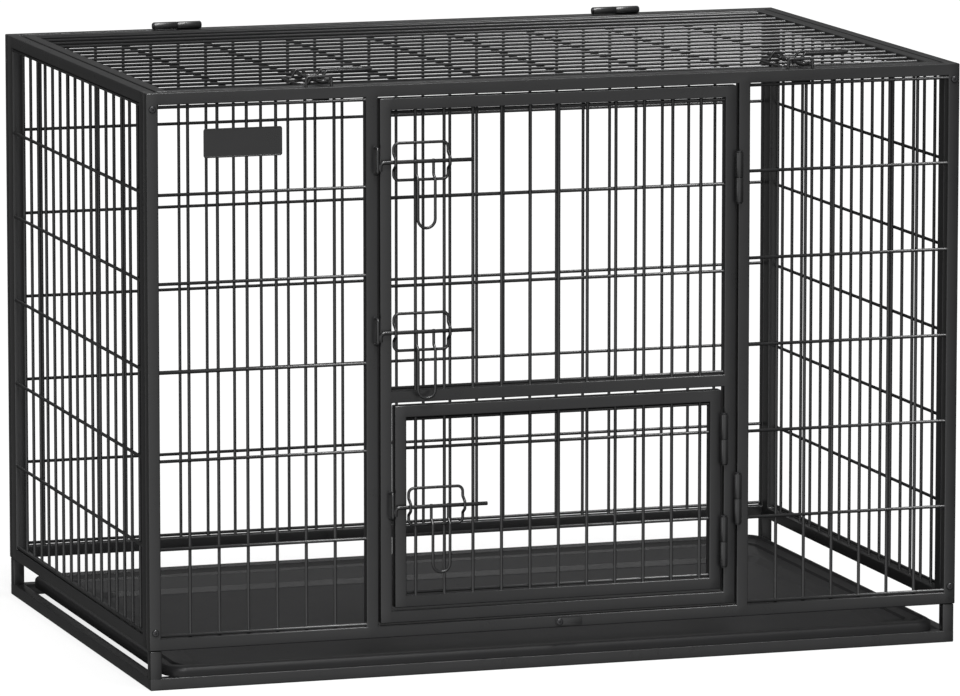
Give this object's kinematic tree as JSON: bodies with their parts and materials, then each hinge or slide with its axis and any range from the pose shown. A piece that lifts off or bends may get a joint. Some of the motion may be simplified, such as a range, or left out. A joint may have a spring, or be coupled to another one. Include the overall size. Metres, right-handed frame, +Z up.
{
  "type": "pet crate",
  "caption": "Heavy welded-wire pet crate on a base ring, with a front door, a feeding door in it, a hinged lid, slide latches and a slide-out tray.",
  "frame": {"origin": "on the floor under the middle of the bounding box", "axes": "+X to the right as seen from the front, +Y to the back, +Z up; the doors are in the -Y face"},
  "size_m": [1.07, 0.7168, 0.761],
  "materials": {
    "base_frame": "satin black powder coat",
    "front_panel": "satin black powder coat",
    "back_panel": "satin black powder coat",
    "left_panel": "satin black powder coat",
    "right_panel": "satin black powder coat",
    "lid": "satin black powder coat",
    "door": "satin black powder coat",
    "feeding_door": "satin black powder coat",
    "door_hinge_lower_fixed": "satin black powder coat",
    "door_hinge_lower_moving": "satin black powder coat",
    "door_hinge_lower_pin": "satin black powder coat",
    "door_hinge_upper_fixed": "satin black powder coat",
    "door_hinge_upper_moving": "satin black powder coat",
    "door_hinge_upper_pin": "satin black powder coat",
    "feeding_hinge_lower_fixed": "satin black powder coat",
    "feeding_hinge_lower_moving": "satin black powder coat",
    "feeding_hinge_lower_pin": "satin black powder coat",
    "feeding_hinge_upper_fixed": "satin black powder coat",
    "feeding_hinge_upper_moving": "satin black powder coat",
    "feeding_hinge_upper_pin": "satin black powder coat",
    "lid_hinge_left_fixed": "satin black powder coat",
    "lid_hinge_left_moving": "satin black powder coat",
    "lid_hinge_left_pin": "satin black powder coat",
    "lid_hinge_right_fixed": "satin black powder coat",
    "lid_hinge_right_moving": "satin black powder coat",
    "lid_hinge_right_pin": "satin black powder coat",
    "door_latch_lower_guide": "satin black powder coat",
    "door_latch_lower_bolt": "satin black powder coat",
    "door_latch_lower_keeper": "satin black powder coat",
    "door_latch_upper_guide": "satin black powder coat",
    "door_latch_upper_bolt": "satin black powder coat",
    "door_latch_upper_keeper": "satin black powder coat",
    "feeding_latch_guide": "satin black powder coat",
    "feeding_latch_bolt": "satin black powder coat",
    "feeding_latch_keeper": "satin black powder coat",
    "lid_latch_left_guide": "satin black powder coat",
    "lid_latch_left_bolt": "satin black powder coat",
    "lid_latch_left_keeper": "satin black powder coat",
    "lid_latch_right_guide": "satin black powder coat",
    "lid_latch_right_bolt": "satin black powder coat",
    "lid_latch_right_keeper": "satin black powder coat",
    "tray": "moulded black plastic, fine grain",
    "tray_clip": "satin black powder coat",
    "clip_screw": "blackened steel",
    "corner_screw_front_1": "blackened steel",
    "corner_screw_front_2": "blackened steel",
    "corner_screw_front_3": "blackened steel",
    "corner_screw_front_4": "blackened steel",
    "corner_screw_back_1": "blackened steel",
    "corner_screw_back_2": "blackened steel",
    "corner_screw_back_3": "blackened steel",
    "corner_screw_back_4": "blackened steel",
    "front_plate": "satin black, no lettering"
  },
  "bodies": {
    "crate": {"base_frame": "base_frame", "front_panel": "front_panel", "back_panel": "back_panel", "left_panel": "left_panel", "right_panel": "right_panel", "front_plate": "front_plate", "clip_screw": "clip_screw", "corner_screw_front_1": "corner_screw_front_1", "corner_screw_front_2": "corner_screw_front_2", "corner_screw_front_3": "corner_screw_front_3", "corner_screw_front_4": "corner_screw_front_4", "corner_screw_back_1": "corner_screw_back_1", "corner_screw_back_2": "corner_screw_back_2", "corner_screw_back_3": "corner_screw_back_3", "corner_screw_back_4": "corner_screw_back_4", "door_hinge_lower_fixed": "door_hinge_lower_fixed", "door_hinge_lower_pin": "door_hinge_lower_pin", "door_hinge_upper_fixed": "door_hinge_upper_fixed", "door_hinge_upper_pin": "door_hinge_upper_pin", "lid_hinge_left_fixed": "lid_hinge_left_fixed", "lid_hinge_left_pin": "lid_hinge_left_pin", "lid_hinge_right_fixed": "lid_hinge_right_fixed", "lid_hinge_right_pin": "lid_hinge_right_pin", "door_latch_lower_keeper": "door_latch_lower_keeper", "door_latch_upper_keeper": "door_latch_upper_keeper", "lid_latch_left_keeper": "lid_latch_left_keeper", "lid_latch_right_keeper": "lid_latch_right_keeper"},
    "lid": {"lid": "lid", "lid_hinge_left_moving": "lid_hinge_left_moving", "lid_hinge_right_moving": "lid_hinge_right_moving", "lid_latch_left_guide": "lid_latch_left_guide", "lid_latch_right_guide": "lid_latch_right_guide"},
    "door": {"door": "door", "door_hinge_lower_moving": "door_hinge_lower_moving", "door_hinge_upper_moving": "door_hinge_upper_moving", "door_latch_lower_guide": "door_latch_lower_guide", "door_latch_upper_guide": "door_latch_upper_guide", "feeding_hinge_lower_fixed": "feeding_hinge_lower_fixed", "feeding_hinge_upper_fixed": "feeding_hinge_upper_fixed", "feeding_hinge_lower_pin": "feeding_hinge_lower_pin", "feeding_hinge_upper_pin": "feeding_hinge_upper_pin", "feeding_latch_keeper": "feeding_latch_keeper"},
    "feeding_door": {"feeding_door": "feeding_door", "feeding_hinge_lower_moving": "feeding_hinge_lower_moving", "feeding_hinge_upper_moving": "feeding_hinge_upper_moving", "feeding_latch_guide": "feeding_latch_guide"},
    "tray": {"tray": "tray"},
    "tray_clip": {"tray_clip": "tray_clip"},
    "door_latch_lower_bolt": {"door_latch_lower_bolt": "door_latch_lower_bolt"},
    "door_latch_upper_bolt": {"door_latch_upper_bolt": "door_latch_upper_bolt"},
    "feeding_latch_bolt": {"feeding_latch_bolt": "feeding_latch_bolt"},
    "lid_latch_left_bolt": {"lid_latch_left_bolt": "lid_latch_left_bolt"},
    "lid_latch_right_bolt": {"lid_latch_right_bolt": "lid_latch_right_bolt"}
  },
  "joints": [
    {"name": "lid_hinge", "type": "hinge", "parent": "crate", "child": "lid", "pos_m": [0, 0.33911, 0.7523], "axis": [-1, 0, 0], "range_deg": [0, 210]},
    {"name": "door_hinge", "type": "hinge", "parent": "crate", "child": "door", "pos_m": [0.2365, -0.34969, 0.068], "axis": [0, 0, 1], "range_deg": [0, 170]},
    {"name": "feeding_door_hinge", "type": "hinge", "parent": "door", "child": "feeding_door", "pos_m": [0.218, -0.34969, 0.087], "axis": [0, 0, -1], "range_deg": [-165, 0]},
    {"name": "tray_slide", "type": "slide", "parent": "crate", "child": "tray", "axis": [0, -1, 0], "range_m": [0, 0.6]},
    {"name": "clip_turn", "type": "hinge", "parent": "crate", "child": "tray_clip", "pos_m": [0, -0.34539, 0.0575], "axis": [0, -1, 0], "range_deg": [-90, 90]},
    {"name": "door_latch_lower_slide", "type": "slide", "parent": "door", "child": "door_latch_lower_bolt", "axis": [1, 0, 0], "range_m": [-0.017, 0.0135]},
    {"name": "door_latch_upper_slide", "type": "slide", "parent": "door", "child": "door_latch_upper_bolt", "axis": [1, 0, 0], "range_m": [-0.017, 0.0135]},
    {"name": "feeding_latch_slide", "type": "slide", "parent": "feeding_door", "child": "feeding_latch_bolt", "axis": [1, 0, 0], "range_m": [-0.017, 0.0135]},
    {"name": "lid_latch_left_slide", "type": "slide", "parent": "lid", "child": "lid_latch_left_bolt", "axis": [0, 1, 0], "range_m": [-0.017, 0.0135]},
    {"name": "lid_latch_right_slide", "type": "slide", "parent": "lid", "child": "lid_latch_right_bolt", "axis": [0, 1, 0], "range_m": [-0.017, 0.0135]}
  ]
}
